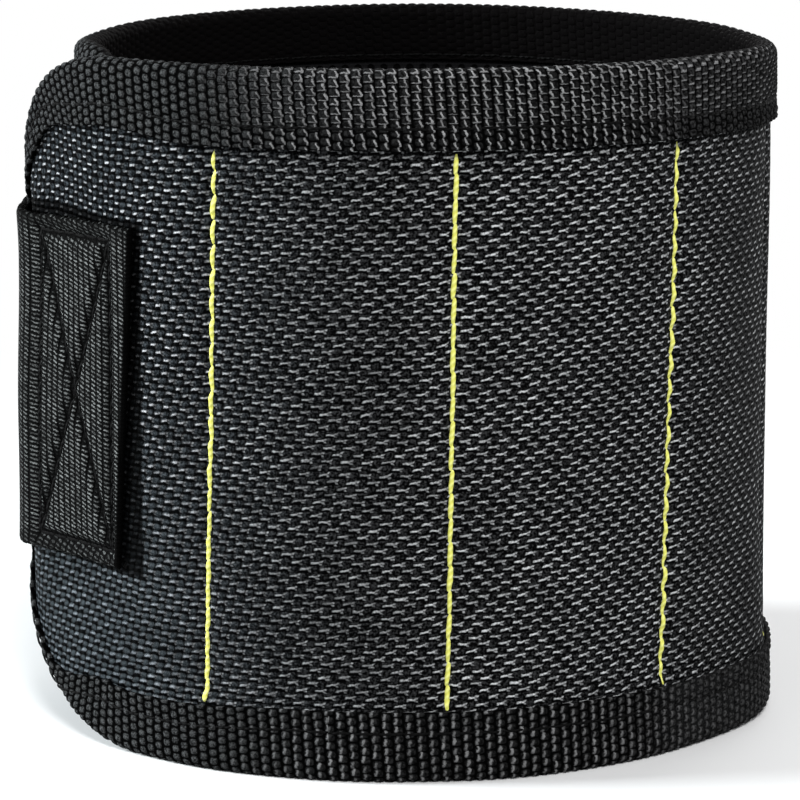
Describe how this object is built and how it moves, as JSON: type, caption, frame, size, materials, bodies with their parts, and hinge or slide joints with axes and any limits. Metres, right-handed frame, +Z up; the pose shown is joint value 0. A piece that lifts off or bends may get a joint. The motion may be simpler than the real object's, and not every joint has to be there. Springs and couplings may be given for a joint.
{
  "type": "magnetic wristband",
  "caption": "Padded black nylon wristband with magnets quilted between yellow seams, bound edges and a hook-and-loop strap, closed into an upright ring.",
  "frame": {"origin": "the ring's axis at the height of the bottom edge that the band stands on", "axes": "+Z up along the ring's axis, -Y towards the viewer of the picture, -X towards the rounded end with the sewn strap"},
  "size_m": [0.1025, 0.1012, 0.09],
  "materials": {
    "shell": "black ballistic nylon, coarse basket weave",
    "lining": "black foam-backed mesh",
    "binding": "black ribbed grosgrain tape",
    "strap": "black ribbed webbing",
    "loop": "black brushed loop pile",
    "hook": "black moulded hooks",
    "thread": "bright yellow bonded thread",
    "magnet": "nickel-plated disc"
  },
  "bodies": {
    "column_2": {"shell_column_2": "shell", "pad_column_2": "lining", "binding_top_2": "binding", "binding_bottom_2": "binding", "magnet_2_1": "magnet", "magnet_2_2": "magnet", "magnet_2_3": "magnet", "seam_thread_2": "thread", "seam_thread_3": "thread"},
    "column_1": {"shell_column_1": "shell", "pad_column_1": "lining", "binding_top_1": "binding", "binding_bottom_1": "binding", "magnet_1_1": "magnet", "magnet_1_2": "magnet", "magnet_1_3": "magnet", "seam_thread_1": "thread"},
    "left_end": {"shell_left_end": "shell", "pad_left_end": "lining", "binding_left_end": "binding", "strap_anchor": "strap"},
    "column_3": {"shell_column_3": "shell", "pad_column_3": "lining", "binding_top_3": "binding", "binding_bottom_3": "binding", "magnet_3_1": "magnet", "magnet_3_2": "magnet", "magnet_3_3": "magnet", "seam_thread_4": "thread"},
    "column_4": {"shell_column_4": "shell", "pad_column_4": "lining", "binding_top_4": "binding", "binding_bottom_4": "binding", "magnet_4_1": "magnet", "magnet_4_2": "magnet", "magnet_4_3": "magnet", "seam_thread_5": "thread"},
    "column_5": {"shell_column_5": "shell", "pad_column_5": "lining", "binding_top_5": "binding", "binding_bottom_5": "binding", "magnet_5_1": "magnet", "magnet_5_2": "magnet", "magnet_5_3": "magnet", "seam_thread_6": "thread"},
    "tail_root": {"shell_tail_root": "shell", "pad_tail_root": "lining", "binding_top_tail": "binding", "binding_bottom_tail": "binding", "loop_panel_root": "loop"},
    "tail_tip": {"shell_tail_tip": "shell", "pad_tail_tip": "lining", "binding_tail_tip": "binding", "loop_panel_tip": "loop"},
    "strap": {"closing_strap": "strap"},
    "strap_end": {"strap_pull_end": "strap", "hook_tape": "hook"}
  },
  "joints": [
    {"name": "unroll", "type": "hinge", "parent": "column_2", "child": "column_3", "pos_m": [0.03511, -0.03644, 0], "axis": [0, 0, -1], "range_deg": [0, 36]},
    {"name": "fold_column_4", "type": "hinge", "parent": "column_3", "child": "column_4", "pos_m": [0.04985, -0.00869, 0], "axis": [0, 0, -1], "range_deg": [0, 36]},
    {"name": "fold_column_5", "type": "hinge", "parent": "column_4", "child": "column_5", "pos_m": [0.04537, 0.0224, 0], "axis": [0, 0, -1], "range_deg": [0, 36]},
    {"name": "fold_tail_root", "type": "hinge", "parent": "column_5", "child": "tail_root", "pos_m": [0.02341, 0.04486, 0], "axis": [0, 0, -1], "range_deg": [0, 36]},
    {"name": "fold_tail_tip", "type": "hinge", "parent": "tail_root", "child": "tail_tip", "pos_m": [-0.03197, 0.03582, 0], "axis": [0, 0, -1], "range_deg": [0, 60]},
    {"name": "fold_column_1", "type": "hinge", "parent": "column_2", "child": "column_1", "pos_m": [0.00684, -0.05014, 0], "axis": [0, 0, 1], "range_deg": [0, 36]},
    {"name": "fold_left_end", "type": "hinge", "parent": "column_1", "child": "left_end", "pos_m": [-0.02407, -0.04451, 0], "axis": [0, 0, 1], "range_deg": [0, 42]},
    {"name": "strap_peel", "type": "hinge", "parent": "left_end", "child": "strap", "pos_m": [-0.05173, 0.00531, 0], "axis": [0, 0, 1], "range_deg": [0, 108]},
    {"name": "strap_end_lift", "type": "hinge", "parent": "strap", "child": "strap_end", "pos_m": [-0.03897, 0.03077, 0], "axis": [0, 0, 1], "range_deg": [0, 80]}
  ],
  "couplings": [
    {"joint": "fold_column_4", "follows": "unroll", "ratio": 1},
    {"joint": "fold_column_5", "follows": "unroll", "ratio": 1},
    {"joint": "fold_tail_root", "follows": "unroll", "ratio": 1},
    {"joint": "fold_tail_tip", "follows": "unroll", "ratio": 1.6666},
    {"joint": "fold_column_1", "follows": "unroll", "ratio": 1},
    {"joint": "fold_left_end", "follows": "unroll", "ratio": 1.1666},
    {"joint": "strap_peel", "follows": "unroll", "ratio": 3}
  ]
}
